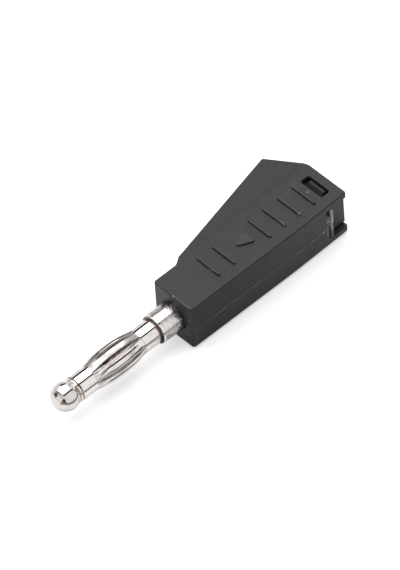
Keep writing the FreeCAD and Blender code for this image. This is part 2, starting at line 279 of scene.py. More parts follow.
def noise(tree, coordinates, scale, detail, roughness, stretch=None):
    """Noise, drawn out where a part of stretch is under 1."""
    if stretch is not None:
        mapping = add(tree, "ShaderNodeMapping")
        mapping.inputs["Scale"].default_value = stretch
        join(tree, coordinates, mapping.inputs["Vector"])
        coordinates = mapping.outputs[0]
    node = add(tree, "ShaderNodeTexNoise")
    join(tree, coordinates, node.inputs["Vector"])
    node.inputs["Scale"].default_value = scale
    node.inputs["Detail"].default_value = detail
    node.inputs["Roughness"].default_value = roughness
    return node.outputs["Fac"]


def mix_color(tree, factor, first, second):
    node = add(tree, "ShaderNodeMix", data_type="RGBA")
    join(tree, factor, node.inputs["Factor"])
    for name, value in (("A", first), ("B", second)):
        socket = [s for s in node.inputs if s.name == name and s.type == "RGBA"][0]
        if isinstance(value, tuple):
            socket.default_value = value + (1.0,)
        else:
            join(tree, value, socket)
    return [s for s in node.outputs if s.type == "RGBA"][0]


def tint(tree, tone, color, *masks):
    """A tone that turns to a colour where the product of the masks is 1."""
    return mix_color(tree, product(tree, *masks), tone, color)


def bumped(tree, height, strength, distance, normal=None):
    """A normal roughened by a height; the distance is in millimetres."""
    bump = add(tree, "ShaderNodeBump")
    bump.inputs["Strength"].default_value = strength
    bump.inputs["Distance"].default_value = distance * MM
    join(tree, height, bump.inputs["Height"])
    if normal is not None:
        join(tree, normal, bump.inputs["Normal"])
    return bump.outputs[0]


def split(tree, vector):
    """The X, Y and Z of a vector."""
    parts = add(tree, "ShaderNodeSeparateXYZ")
    join(tree, vector, parts.inputs[0])
    return parts.outputs["X"], parts.outputs["Y"], parts.outputs["Z"]


def place_parts(tree):
    """The object coordinates, whole and as X, Y and Z."""
    where = add(tree, "ShaderNodeTexCoord").outputs["Object"]
    return (where,) + split(tree, where)


# Materials

def dust_specks(tree, where):
    """1 on a few small round specks, strewn at random."""
    cells = add(tree, "ShaderNodeTexVoronoi")
    join(tree, where, cells.inputs["Vector"])
    cells.inputs["Scale"].default_value = 1000
    chosen = add(tree, "ShaderNodeSeparateColor")
    join(tree, cells.outputs["Color"], chosen.inputs[0])
    specks = remap(tree, cells.outputs["Distance"], 0.10, 0.05)
    return product(tree, specks, remap(tree, chosen.outputs[0], 0.93, 0.95))


def softened_normal(tree, normal, upright, level):
    """The normal, turned towards straight up or down where the surface is nearly level."""
    straight = add(tree, "ShaderNodeCombineXYZ")
    join(tree, math_node(tree, "SIGN", upright), straight.inputs["Z"])
    softer = add(tree, "ShaderNodeMix", data_type="VECTOR")
    join(tree, product(tree, remap(tree, level, 0.78, 0.86), 0.6), softer.inputs["Factor"])
    join(tree, normal, softer.inputs[4])
    join(tree, straight.outputs[0], softer.inputs[5])
    return softer.outputs[1]


def plastic(name, dark, light, roughness, worn_and_lit=(), speckle=3400):
    """Black moulded plastic: clouded tone, fine grain, painted shade on the rounded edges, a
    painted highlight on the ridge crests, scuffs and dust.

    The paler places are listed as places that handling or the mould has whitened and places of
    painted highlight and painted light: both corners of a box in millimetres, the noise level
    above which it is white, and its tone."""
    material, tree, surface = new_material(name)
    shader = add(tree, "ShaderNodeBsdfPrincipled")
    join(tree, shader.outputs[0], surface)
    where, x, y, z = place_parts(tree)
    shader.inputs["Specular IOR Level"].default_value = 0.42
    clouds = noise(tree, where, scale=260, detail=4, roughness=0.6)
    fine = noise(tree, where, scale=5200, detail=2, roughness=0.7)
    mottle = total(tree, product(tree, clouds, 0.5), product(tree, fine, 0.5))
    tone = mix_color(tree, remap(tree, mottle, 0.36, 0.64), dark, light)

    # Painted shade: rounded edges and sloped flanks are painted darker than the faces, and they
    # are a little duller
    normal = add(tree, "ShaderNodeNewGeometry").outputs["Normal"]
    upright = split(tree, normal)[2]
    level = math_node(tree, "ABSOLUTE", upright)
    on_edge = between(tree, level, 0.2, 0.78, 0.08)
    tone = tint(tree, tone, EDGE_SHADE_TONE, on_edge, 0.85)

    # Painted highlight: the crests of the raised ridges are painted a little paler
    crest = ramp(tree, math_node(tree, "ABSOLUTE", z), 3.70, 3.77)
    tone = tint(tree, tone, CREST_HIGHLIGHT_TONE, crest, 0.25)

    # Paler places, broken up by noise: whitening by handling or the mould, and painted highlights
    # and painted light
    ragged = noise(tree, where, scale=speckle, detail=3, roughness=0.7)
    patches = []
    for low, high, threshold, shade in worn_and_lit:
        limits = zip((x, y, z), low, high)
        spans = [band(tree, value, start, end, 0.03) for value, start, end in limits]
        white = remap(tree, ragged, threshold - 0.04, threshold + 0.04)
        patches.append(product(tree, *spans, white))
        tone = tint(tree, tone, shade, patches[-1])
    tone = tint(tree, tone, DUST_TONE, dust_specks(tree, where), 0.4)
    join(tree, tone, shader.inputs["Base Color"])

    # The wing is duller than the bar, and the whitened places are the dullest
    dull = remap(tree, clouds, 0.3, 0.7, *roughness)
    on_wing = product(tree, ramp(tree, y, 2.8, 4.2), 0.07)
    dull = total(tree, dull, on_wing, remap(tree, fine, 0.35, 0.65, -0.05, 0.05))
    if patches:
        dull = highest(tree, dull, product(tree, highest(tree, *patches), 0.7))
    dull = total(tree, dull, product(tree, on_edge, 0.1))
    join(tree, dull, shader.inputs["Roughness"])

    # The shallow ramps shade more softly than their slope would
    grain = total(tree, fine, product(tree, clouds, 0.8))
    softer = softened_normal(tree, normal, upright, level)
    join(tree, bumped(tree, grain, 0.9, 0.1, softer), shader.inputs["Normal"])
    return material


def tarnished(tree, where, z, tarnish, tone, dull):
    """A tone and a roughness under tarnish: streaked along the pin, with painted shade that
    darkens it on the top and a painted pale reflection below.
    """
    streaks = noise(tree, where, scale=1600, detail=3, roughness=0.65, stretch=(0.35, 1.0, 1.0))
    tarnish_by_light = mix_color(tree, ramp(tree, z, 1.1, 0.8), TARNISH_SHADE_TONE, TARNISH_LIT_TONE)
    color = mix_color(tree, remap(tree, streaks, 0.36, 0.54), tarnish_by_light, STREAK_TONE)
    return tint(tree, tone, color, tarnish), highest(tree, dull, product(tree, tarnish, 0.4))


def sleeve_marks(tree, place, clouds, tone, dull):
    """Drawing lines, tarnish, and painted shade and reflections of the sleeve: at its ends and
    slits, and on the leaves.
    """
    where, x, y, z, radius = place
    front_end = ramp(tree, x, SPRING_FRONT + 0.07, SPRING_FRONT + 0.04)
    rear_end = ramp(tree, x, SPRING_REAR - 0.07, SPRING_REAR - 0.04)
    inner = ramp(tree, radius, BAND_RADIUS - 0.06, BAND_RADIUS - 0.1)

    # Sideways distance from the middle line of the nearest leaf
    angle = math_node(tree, "ARCTAN2", z, y)
    turned = math_node(tree, "SUBTRACT", angle, math.radians(SEAM_ANGLE))
    leaves_on = math_node(tree, "DIVIDE", turned, LEAF_ANGLE)
    share = math_node(tree, "FRACT", total(tree, leaves_on, 20))
    local = product(tree, math_node(tree, "SUBTRACT", share, 0.5), LEAF_ANGLE)
    aside = product(tree, radius, math_node(tree, "SINE", local))

    # Painted shade along the slits, most of it on the top
    on_leaf = band(tree, x, *ON_LEAF_X)
    at_slit = ramp(tree, math_node(tree, "ABSOLUTE", aside), 0.56, 0.70)
    on_top = ramp(tree, z, 1.1, 0.8, 1.0, 0.1)
    tone = tint(tree, tone, SLIT_SHADE_TONE, at_slit, on_leaf, on_top, 0.65)

    # Drawing lines along the leaves, which are duller than the bands, most so the top one
    uneven = remap(tree, clouds, 0.3, 0.6, 0.5, 0.8)
    drawn = noise(tree, where, scale=3800, detail=2, roughness=0.6, stretch=(0.04, 1.0, 1.0))
    tone = tint(tree, tone, DRAWN_TONE, remap(tree, drawn, 0.50, 0.60), on_leaf, uneven)
    top_leaf = band(tree, y, *TOP_LEAF_Y)
    leaf_dull = product(tree, on_leaf, remap(tree, top_leaf, 0, 1, 0.12, 0.26))
    dull = highest(tree, dull, leaf_dull)
    # Painted shade: the top leaf is painted greyer
    tone = tint(tree, tone, TOP_LEAF_SHADE_TONE, top_leaf, on_leaf, uneven)

    # Painted reflection: a dark line down the middle of each leaf
    mark = band(tree, aside, *LEAF_REFLECTION_ASIDE)
    mid_leaf = band(tree, x, *MID_LEAF_X)
    ragged = noise(tree, where, scale=2500, detail=2, roughness=0.6)
    ragged = remap(tree, ragged, 0.30, 0.45, 0.85, 1.0)
    tone = tint(tree, tone, LEAF_REFLECTION_TONE, mark, mid_leaf, ragged)

    # Both plain bands end at the leaves with a fine dark line
    lines = highest(tree, band(tree, x, *START_LINE_X), band(tree, x, *END_LINE_X))
    tone = tint(tree, tone, BAND_LINE_TONE, lines, 0.55)

    # Both ends and the inner face are tarnished, and painted as shade on the top and paler below
    return tarnished(tree, where, z, highest(tree, front_end, rear_end, inner), tone, dull)


def contact_marks(tree, place, clouds, tone, dull):
    """Stains, painted shade and painted reflections of the turned contact: on the ball and the
    collar, and between them.
    """
    where, x, y, z, radius = place
    ball = ramp(tree, x, -17.0, -17.3)
    aside = total(tree, product(tree, y, LEAN_COSINE), product(tree, z, LEAN_SINE))
    height = total(tree, product(tree, y, -LEAN_SINE), product(tree, z, LEAN_COSINE))
    along = total(tree, x, product(tree, height, LEAN_SLANT))
    upper = ramp(tree, height, 0.1, 0.4)

    # The ball is a little greyer and duller than the rest, with faint stains
    dull = highest(tree, dull, product(tree, ball, 0.11))
    tone = tint(tree, tone, BALL_TONE, ball, 0.45)
    stain = remap(tree, noise(tree, where, scale=1250, detail=3, roughness=0.6), 0.54, 0.62)
    tone = tint(tree, tone, STAIN_TONE, ball, stain, remap(tree, clouds, 0.2, 0.6, 0.2, 0.5))

    # Painted reflections: a brown triangle on its upper side, and beside it a grey wedge with a
    # dark edge
    wobble = product(tree, noise(tree, where, scale=3000, detail=2, roughness=0.6), 0.2 * MM)
    spread = product(tree, total(tree, along, -TRIANGLE_TIP * MM), TRIANGLE_SPREAD)
    off_middle = math_node(tree, "ABSOLUTE", total(tree, aside, -TRIANGLE_ASIDE * MM))
    past = math_node(tree, "SUBTRACT", total(tree, off_middle, wobble), spread)
    in_length = band(tree, along, *TRIANGLE_ALONG)
    tone = tint(tree, tone, TRIANGLE_REFLECTION_TONE, ramp(tree, past, 0.13, 0.05), in_length, upper, 0.85)
    for tone_there, length, width, strength in (
            (WEDGE_REFLECTION_TONE, WEDGE_ALONG, WEDGE_ASIDE, 0.5),
            (WEDGE_EDGE_REFLECTION_TONE, WEDGE_EDGE_ALONG, WEDGE_EDGE_ASIDE, 0.8)):
        area = product(tree, band(tree, along, *length), band(tree, aside, *width), upper)
        tone = tint(tree, tone, tone_there, area, strength)

    # The collar is duller than the ball, painted greyer on the wing's side as shade, and dark
    # specks are painted near where it enters the housing
    on_collar = ramp(tree, x, -3.17, -3.02)
    dull = highest(tree, dull, product(tree, on_collar, 0.27))
    wing_half = ramp(tree, aside, -0.4, 0.3)
    uneven = remap(tree, clouds, 0.3, 0.6, 0.5, 0.75)
    tone = tint(tree, tone, COLLAR_SHADE_TONE, on_collar, wing_half, uneven)
    near_wall = product(tree, ramp(tree, x, -1.6, -0.1), 0.22)
    specks = total(tree, noise(tree, where, scale=4200, detail=3, roughness=0.7), near_wall)
    specks = product(tree, remap(tree, specks, 0.60, 0.66), ramp(tree, x, -1.7, -1.3))
    tone = tint(tree, tone, SPECK_TONE, specks, 0.85)

    # Turning marks round the collar
    turning = noise(tree, where, scale=8000, detail=2, roughness=0.6, stretch=(1.0, 0.08, 0.08))
    turning = remap(tree, turning, 0.50, 0.70)
    tone = tint(tree, tone, TURNING_TONE, turning, on_collar, remap(tree, clouds, 0.35, 0.6))

    # Painted shade in the crease behind the ball, on the straight side
    crease = band(tree, x, *CREASE_X)
    crease_breakup = remap(tree, noise(tree, where, scale=2300, detail=3, roughness=0.7), 0.52, 0.60)
    tone = tint(tree, tone, CREASE_SHADE_TONE, crease, crease_breakup, ramp(tree, y, 0.6, -0.2))

    # The recess under the leaves and the gap behind the sleeve are tarnished and hold painted
    # shade, dark on the top and paler below
    recess = product(tree, ramp(tree, radius, 1.58, 1.50), band(tree, x, *RECESS_X))
    rear_gap = product(tree, band(tree, x, *REAR_GAP_X), ramp(tree, radius, 1.84, 1.76))
    tone, dull = tarnished(tree, where, z, highest(tree, recess, rear_gap), tone, dull)

    # Painted shade: the collar's front edge is painted dark, and almost black on the straight
    # side
    rim_shade = mix_color(tree, ramp(tree, aside, -0.9, -1.35), RIM_SHADE_TONE, SIDE_RIM_SHADE_TONE)
    return tint(tree, tone, rim_shade, band(tree, x, *FRONT_RIM_X)), dull


def nickel(name, color, roughness, marks):
    """Nickel plate with a clouded shine and fine scratches along the pin.

    marks is the function that adds the stains, wear marks, painted shade and painted reflections
    of one piece."""
    material, tree, surface = new_material(name)
    shader = add(tree, "ShaderNodeBsdfPrincipled")
    join(tree, shader.outputs[0], surface)
    shader.inputs["Metallic"].default_value = 1.0
    where, x, y, z = place_parts(tree)
    squares = total(tree, product(tree, y, y), product(tree, z, z))
    radius = math_node(tree, "SQRT", squares)
    clouds = noise(tree, where, scale=900, detail=3, roughness=0.6)
    dull = remap(tree, clouds, 0.3, 0.7, *roughness)

    # The plate is a little warmer and darker in blotches
    blotch = remap(tree, noise(tree, where, scale=1500, detail=3, roughness=0.65), 0.52, 0.68)
    warm = tuple(part * share for part, share in zip(color, WARM_SHARES))
    tone = tint(tree, color, warm, blotch, 0.7)

    scratch = noise(tree, where, scale=9000, detail=2, roughness=0.6, stretch=(0.12, 1.0, 1.0))
    tone = tint(tree, tone, SCRATCH_TONE, remap(tree, scratch, 0.62, 0.70), 0.35)
    tone, dull = marks(tree, (where, x, y, z, radius), clouds, tone, dull)
    join(tree, tone, shader.inputs["Base Color"])
    join(tree, dull, shader.inputs["Roughness"])
    waves = noise(tree, where, scale=1100, detail=2, roughness=0.5)
    waves = total(tree, waves, product(tree, scratch, 0.15))
    join(tree, bumped(tree, waves, 0.12, 0.01), shader.inputs["Normal"])
    return material


def give(node, material):
    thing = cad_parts[node] if isinstance(node, str) else node
    thing.data.materials.clear()
    thing.data.materials.append(material)


# Small helpers for meshes; points are given in millimetres

def build(name, points, faces, sharp=35.0):
    """A smooth-shaded object whose edges stay sharp beyond an angle."""
    shape = bmesh.new()
    corners = [shape.verts.new(Vector(p) * MM) for p in points]
    for face in faces:
        shape.faces.new([corners[i] for i in face])
    bmesh.ops.remove_doubles(shape, verts=shape.verts, dist=WELD * MM)
    bmesh.ops.dissolve_degenerate(shape, edges=shape.edges, dist=WELD * MM)
    bmesh.ops.recalc_face_normals(shape, faces=shape.faces)
    for face in shape.faces:
        face.smooth = True
    for edge in shape.edges:
        rim = len(edge.link_faces) != 2
        edge.smooth = rim or edge.calc_face_angle() < math.radians(sharp)
    mesh = bpy.data.meshes.new(name)
    shape.to_mesh(mesh)
    shape.free()
    thing = bpy.data.objects.new(name, mesh)
    bpy.context.scene.collection.objects.link(thing)
    return thing


def revolve(name, profile):
    """A profile of (x, radius) points turned about the pin axis."""
    points, faces = [], []
    for x, radius in profile:
        for step in range(TURNED_STEPS):
            angle = FULL_TURN * step / TURNED_STEPS
            points.append((x, radius * math.cos(angle), radius * math.sin(angle)))
    for ring in range(len(profile) - 1):
        near, far = ring * TURNED_STEPS, (ring + 1) * TURNED_STEPS
        for step in range(TURNED_STEPS):
            following = (step + 1) % TURNED_STEPS
            faces.append((near + step, near + following, far + following, far + step))
    return build(name, points, faces)


def rod(name, start, direction, radius, length):
    """A closed cutter rod along a direction."""
    side = direction.orthogonal().normalized()
    other = direction.cross(side)
    points, faces = [], []
    for reach in (0, length):
        for step in range(CUTTER_STEPS):
            angle = FULL_TURN * step / CUTTER_STEPS
            points.append(start + direction * reach + side * radius * math.cos(angle)
                          + other * radius * math.sin(angle))
    for step in range(CUTTER_STEPS):
        following = (step + 1) % CUTTER_STEPS
        faces.append((step, following, CUTTER_STEPS + following, CUTTER_STEPS + step))
    faces.append(tuple(reversed(range(CUTTER_STEPS))))
    faces.append(tuple(range(CUTTER_STEPS, CUTTER_STEPS * 2)))
    return build(name, points, faces)


def carve(thing, cutters):
    """Cuts the cutters out of an object and removes them."""
    for cutter in cutters:
        step = thing.modifiers.new("carve", "BOOLEAN")
        step.operation = "DIFFERENCE"
        step.solver = "EXACT"
        step.object = cutter
    graph = bpy.context.evaluated_depsgraph_get()
    graph.update()
    mesh = bpy.data.meshes.new_from_object(thing.evaluated_get(graph))
    thing.modifiers.clear()
    thing.data = mesh
    for cutter in cutters:
        bpy.data.objects.remove(cutter)


def arc_points(center_x, center_r, radius, start, end, count):
    """Points of an arc in the (x, radius) plane, angles in degrees from the +X direction."""
    found = []
    for step in range(count + 1):
        angle = math.radians(start + (end - start) * step / count)
        found.append((center_x + radius * math.cos(angle), center_r + radius * math.sin(angle)))
    return found


# The detailed pieces

def make_contact():
    """The turned contact with finely rounded edges, and its two holes."""
    nose_center = PIN_TIP + NOSE_RADIUS
    crease = math.degrees(math.acos((SHOULDER_FRONT - nose_center) / NOSE_RADIUS))
    edge = SHOULDER_EDGE
    edge_r, rim_r = SHOULDER_RADIUS - edge, COLLAR_RADIUS - COLLAR_RIM
    profile = arc_points(nose_center, 0, NOSE_RADIUS, 180, crease, NOSE_STEPS)
    profile += arc_points(SHOULDER_FRONT + edge, edge_r, edge, 180, 90, EDGE_STEPS)
    profile += arc_points(SHOULDER_REAR - edge, edge_r, edge, 90, 0, EDGE_STEPS)
    profile += [(SHOULDER_REAR, MANDREL_RADIUS), (COLLAR_FRONT, MANDREL_RADIUS)]
    profile += arc_points(COLLAR_FRONT + COLLAR_RIM, rim_r, COLLAR_RIM, 180, 90, RIM_STEPS)
    profile += [
        (0.0, COLLAR_RADIUS),
        (0.0, NECK_RADIUS),
        (WALL_REAR, NECK_RADIUS),
        (WALL_REAR, BODY_RADIUS - BODY_CHAMFER),
        (WALL_REAR + BODY_CHAMFER, BODY_RADIUS),
        (SOCKET_END - BODY_CHAMFER, BODY_RADIUS),
        (SOCKET_END, BODY_RADIUS - BODY_CHAMFER),
        (SOCKET_END, SOCKET_RADIUS + SOCKET_LEAD),
        (SOCKET_END - SOCKET_LEAD, SOCKET_RADIUS),
        (SOCKET_FLOOR, SOCKET_RADIUS),
        (SOCKET_FLOOR - DRILL_CONE, 0),
    ]
    contact = revolve("contact_turned", profile)
    angle = math.radians(WIRE_HOLE_ANGLE)
    slant = Vector((math.cos(angle), math.sin(angle), 0))
    crossing = Vector((SCREW_X, 0, -WIRE_HOLE_DROP))
    start = crossing - slant * WIRE_HOLE_PAST
    wire = rod("wire_cut", start, slant, WIRE_HOLE_RADIUS, BODY_RADIUS * 3)
    thread = rod("thread_cut", crossing, UP, SCREW_RADIUS, BODY_RADIUS * 2)
    carve(contact, [wire, thread])
    return contact


def lift_at(x):
    """How far a leaf is bowed outwards at x."""
    offset = (x - (LEAVES_FRONT + LEAVES_REAR) / 2) / ((LEAVES_REAR - LEAVES_FRONT) / 2)
    if abs(offset) >= 1:
        return 0.0
    return BULGE * (1 - abs(offset) ** BOW_FULLNESS) ** BOW_EASING


def in_leaves(x):
    return LEAVES_FRONT < x < LEAVES_REAR


def sleeve_stations():
    """Where the sleeve's cross sections lie, with how far its edges are rounded there."""
    length = LEAVES_REAR - LEAVES_FRONT
    stations = [(SPRING_FRONT, SLEEVE_END), (SPRING_FRONT + SLEEVE_END, 0.0)]
    stations += [(LEAVES_FRONT - BAND_STATION, 0.0), (LEAVES_FRONT, 0.0)]
    for n in range(BOW_STEPS + 1):
        stations.append((LEAVES_FRONT + length * (n + 0.5) / (BOW_STEPS + 1), 0.0))
    stations += [(LEAVES_REAR, 0.0), (LEAVES_REAR + BAND_STATION, 0.0)]
    return stations + [(SPRING_REAR - SLEEVE_END, 0.0), (SPRING_REAR, SLEEVE_END)]


def arc_row(radius, start, end):
    """Points (radius, angle) across a leaf, from one angle to another."""
    return [(radius, start + (end - start) * (n / LEAF_STEPS)) for n in range(LEAF_STEPS + 1)]


def leaf_section(x, rounded, seam_low, seam_high):
    """The outline of one leaf at x, or of the bands there, as (radius, angle) points."""
    bowed = in_leaves(x)
    low = high = LEAF_ANGLE / 2
    if bowed:
        low = high = LEAF_ANGLE / 2 - SLIT / 2 / BAND_RADIUS
    if seam_low:
        low = LEAF_ANGLE / 2 - SEAM / 2 / BAND_RADIUS
    if seam_high:
        high = LEAF_ANGLE / 2 - SEAM / 2 / BAND_RADIUS
    low_edge = SLEEVE_EDGE if bowed or seam_low else 0.0
    high_edge = SLEEVE_EDGE if bowed or seam_high else 0.0
    inner = BAND_RADIUS - SHEET
    outer = BAND_RADIUS - rounded
    inside = inner + rounded * 0.4
    section = [
        (inside, -low + low_edge / 2 / inner),
        (inside + low_edge, -low),
        (outer - low_edge, -low),
        (outer - low_edge * 0.3, -low + low_edge * 0.3 / outer),
    ]
    section += arc_row(outer, -low + low_edge / outer, high - high_edge / outer)
    section += [
        (outer - high_edge * 0.3, high - high_edge * 0.3 / outer),
        (outer - high_edge, high),
        (inside + high_edge, high),
    ]
    section += arc_row(inside, high - high_edge / 2 / inner, -low + low_edge / 2 / inner)
    return section


def make_sleeve():
    """The rolled sleeve: two plain bands with seven bowed leaves between them, and the seam."""
    points, faces = [], []
    stations = sleeve_stations()
    for leaf in range(LEAVES):
        turn = math.radians(SEAM_ANGLE) + (leaf + 0.5) * LEAF_ANGLE
        seam_low, seam_high = leaf == 0, leaf == LEAVES - 1
        first = len(points)
        for x, rounded in stations:
            section = leaf_section(x, rounded, seam_low, seam_high)
            lift = lift_at(x)
            for radius, angle in section:
                y, z = radius * math.cos(angle) + lift, radius * math.sin(angle)
                points.append((x, y * math.cos(turn) - z * math.sin(turn),
                               y * math.sin(turn) + z * math.cos(turn)))
        size = len(section)
        for station in range(len(stations) - 1):
            x = (stations[station][0] + stations[station + 1][0]) / 2
            bowed = in_leaves(x)
            near, far = first + station * size, first + (station + 1) * size
            for step in range(size):
                following = (step + 1) % size
                on_low = step < EDGE_POINTS
                on_high = EDGE_POINTS + LEAF_STEPS <= step < LEAF_STEPS + 2 * EDGE_POINTS
                closed_low = on_low and not (bowed or seam_low)
                closed_high = on_high and not (bowed or seam_high)
                if not closed_low and not closed_high:
                    faces.append((near + step, near + following, far + following, far + step))
        for station in (0, len(stations) - 1):
            start = first + station * size
            outer_row = [start + EDGE_POINTS + n for n in range(LEAF_STEPS + 1)]
            inner_row = [start + size - 1 - n for n in range(LEAF_STEPS + 1)]
            for n in range(LEAF_STEPS):
                faces.append((outer_row[n], outer_row[n + 1], inner_row[n + 1], inner_row[n]))
    return build("lantern_sleeve", points, faces, 40.0)


def side_y(x):
    """The straight side of the housing draws in a little towards the rear."""
    return SIDE_Y + TAPER * max(0.0, x - TAPER_START)


def make_flash():
    """The thin raised parting line along the straight side, uneven as mould flash is."""
    points, faces = [], []
    for n in range(FLASH_STEPS + 1):
        x = FLASH_FRONT + FLASH_LENGTH * n / FLASH_STEPS
        rough = wave.noise(Vector((x * 0.9, 3.1, 0.0)))
        rough += 0.6 * wave.noise(Vector((x * 4.0, 7.7, 0.0)))
        to_ends = (x - FLASH_FRONT) / FLASH_FADE, (FLASH_FRONT + FLASH_LENGTH - x) / FLASH_FADE
        bold = any(low < x < high for low, high in FLASH_BOLD)
        strength = (1.0 if bold else FLASH_FAINT) * min(1.0, *to_ends)
        height = max(FLASH_LEAST, (FLASH_HEIGHT + FLASH_HEIGHT_NOISE * rough) * strength)
        width = FLASH_WIDTH + FLASH_WIDTH_NOISE * rough
        middle = FLASH_MIDDLE + FLASH_WANDER * wave.noise(Vector((x * 0.5, 1.0, 2.0)))
        foot, crest = side_y(x) + TRIM_SINK, side_y(x) - height
        points += [(x, foot, middle - width), (x, crest, middle - width * 0.3)]
        points += [(x, crest, middle + width * 0.3), (x, foot, middle + width)]
    for n in range(FLASH_STEPS):
        near, far = n * 4, (n + 1) * 4
        faces += [(near + k, near + (k + 1) % 4, far + (k + 1) % 4, far + k) for k in range(4)]
    faces += [(3, 2, 1, 0), tuple(FLASH_STEPS * 4 + k for k in range(4))]
    return build("parting_flash", points, faces, 80.0)


def make_gate():
    """The torn, mottled stub of moulding that stands on the slope of the side notch."""
    points, faces = [], []
    for row in range(GATE_ROWS + 1):
        for column in range(GATE_COLUMNS + 1):
            s, t = column / GATE_COLUMNS, row / GATE_ROWS
            x = GATE_X[0] + (GATE_X[1] - GATE_X[0]) * s
            z = GATE_Z[0] + (GATE_Z[1] - GATE_Z[0]) * t
            slope = side_y(x) + NOTCH_DEPTH * (x - NOTCH_FRONT) / NOTCH_SLOPE
            rough = wave.noise(Vector((s * 5.0, t * 14.0, 4.0)))
            rough += 0.6 * wave.noise(Vector((s * 11.0, t * 31.0, 1.0)))
            raised = min(1.0, 8 * s, 5 * t, 9 * (1 - t))
            level = side_y(x) + GATE_DEPTH + GATE_SLANT * s - GATE_NOISE * rough
            y = slope + TRIM_SINK + (level - slope - TRIM_SINK) * raised
            points.append((x, y, z))
    wide = GATE_COLUMNS + 1
    for row in range(GATE_ROWS):
        for column in range(GATE_COLUMNS):
            first = row * wide + column
            faces.append((first, first + 1, first + wide + 1, first + wide))
    return build("gate_stub", points, faces, 80.0)


# Paler places: both corners of a box in millimetres, noise level, tone. Those marked are painted
# highlights and painted light; the rest are pale spots, scuffs and dust
WORN_AND_LIT_HOUSING = [
    # Painted highlight along the front top edge, with a whiter stretch
    ((-0.05, -3.1, 3.42), (0.20, -0.2, 3.60), 0.42, (0.085, 0.085, 0.087)),
    ((-0.05, -0.3, 3.42), (0.20, 0.05, 3.60), 0.44, (0.18, 0.18, 0.185)),
    # Pale spots and scuffs
    ((-0.05, 0.05, 3.45), (0.20, 3.2, 3.60), 0.62, (0.12, 0.12, 0.125)),
    ((22.1, -3.4, -0.60), (22.5, -3.2, -0.35), 0.45, (0.40, 0.40, 0.40)),
    # Painted light on the lower slope of the side notch, which lies in shade
    ((22.9, -3.4, -2.7), (23.8, -2.6, -0.6), 0.34, (0.13, 0.127, 0.125)),
    # Pale spots, scuffs and dust
    ((23.08, 0.12, 3.5), (23.30, 0.34, 3.6), 0.30, (0.20, 0.20, 0.20)),
    ((19.7, -2.1, 3.6), (20.4, -1.5, 3.9), 0.50, (0.30, 0.30, 0.30)),
    ((17.2, -1.9, 3.6), (17.9, -0.9, 3.9), 0.56, (0.16, 0.16, 0.16)),
    ((6.0, -0.9, 3.6), (6.8, 0.2, 3.9), 0.60, (0.14, 0.14, 0.14)),
    ((-0.05, -3.3, 0.9), (0.05, -2.3, 1.8), 0.60, (0.22, 0.22, 0.22)),
    ((0.0, -3.42, -2.2), (1.4, -3.3, -0.2), 0.60, (0.09, 0.09, 0.09)),
]
# Painted light on the insert in the side notch: a paler patch on its side, and a painted
# highlight down its rib
INSERT_PAINTED_LIGHT = [
    ((24.10, -3.4, 0.2), (24.60, -2.3, 2.5), 0.50, (0.07, 0.07, 0.07)),
    ((23.82, -3.4, 0.0), (24.14, -2.3, 2.1), 0.44, (0.42, 0.41, 0.41)),
    ((23.70, -3.3, -1.3), (23.90, -2.8, 2.4), 0.30, (0.42, 0.40, 0.40)),
    ((23.70, -3.3, -2.6), (23.84, -2.8, -1.3), 0.46, (0.30, 0.29, 0.29)),
]
WORN_GATE = [((22, -4, -3), (24, -2, 3), 0.53, (0.50, 0.48, 0.47))]

housing_material = plastic("housing_plastic", dark=(0.012, 0.012, 0.0125),
                           light=(0.017, 0.017, 0.0175), roughness=(0.34, 0.46),
                           worn_and_lit=WORN_AND_LIT_HOUSING)
insert_material = plastic("insert_plastic", dark=(0.009, 0.009, 0.0095),
                          light=(0.013, 0.013, 0.0135), roughness=(0.34, 0.48),
                          worn_and_lit=INSERT_PAINTED_LIGHT)
flash_material = plastic("flash_plastic", dark=(0.16, 0.16, 0.16), light=(0.80, 0.80, 0.79),
                         roughness=(0.4, 0.6))
gate_material = plastic("gate_plastic", dark=(0.015, 0.015, 0.015), light=(0.05, 0.05, 0.05),
                        roughness=(0.35, 0.6), worn_and_lit=WORN_GATE, speckle=5600)
screw_material = nickel("screw_steel", (0.55, 0.55, 0.57), (0.25, 0.35), contact_marks)
contact_material = nickel("plated_contact", (0.80, 0.76, 0.735), (0.03, 0.07), contact_marks)
sleeve_material = nickel("plated_spring", (0.82, 0.775, 0.75), (0.02, 0.05), sleeve_marks)

give("housing_shell", housing_material)
give("rear_insert", insert_material)
give("clamp_screw", screw_material)

flash = make_flash()
give(flash, flash_material)
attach(flash, "plug")

gate = make_gate()
give(gate, gate_material)
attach(gate, "plug")

contact = make_contact()
give(contact, contact_material)
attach(contact, "plug")
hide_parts("contact_body")

sleeve = make_sleeve()
give(sleeve, sleeve_material)
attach(sleeve, "spring")
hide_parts("lantern_spring")


# Stage: floor, world, lamps and the cards that show in the metal

def plane(name, size_x, size_y, matrix):
    mesh = bpy.data.meshes.new(name)
    corners = [(-size_x / 2, -size_y / 2, 0), (size_x / 2, -size_y / 2, 0)]
    corners += [(size_x / 2, size_y / 2, 0), (-size_x / 2, size_y / 2, 0)]
    mesh.from_pydata(corners, [], [(0, 1, 2, 3)])
    thing = bpy.data.objects.new(name, mesh)
    bpy.context.scene.collection.objects.link(thing)
    thing.matrix_world = matrix
    return thing


def seen_rays(tree):
    """1 for the rays that show the background: camera, glossy and transmission rays."""
    path = add(tree, "ShaderNodeLightPath").outputs
    kinds = ("Is Camera Ray", "Is Glossy Ray", "Is Transmission Ray")
    return highest(tree, *(path[kind] for kind in kinds))


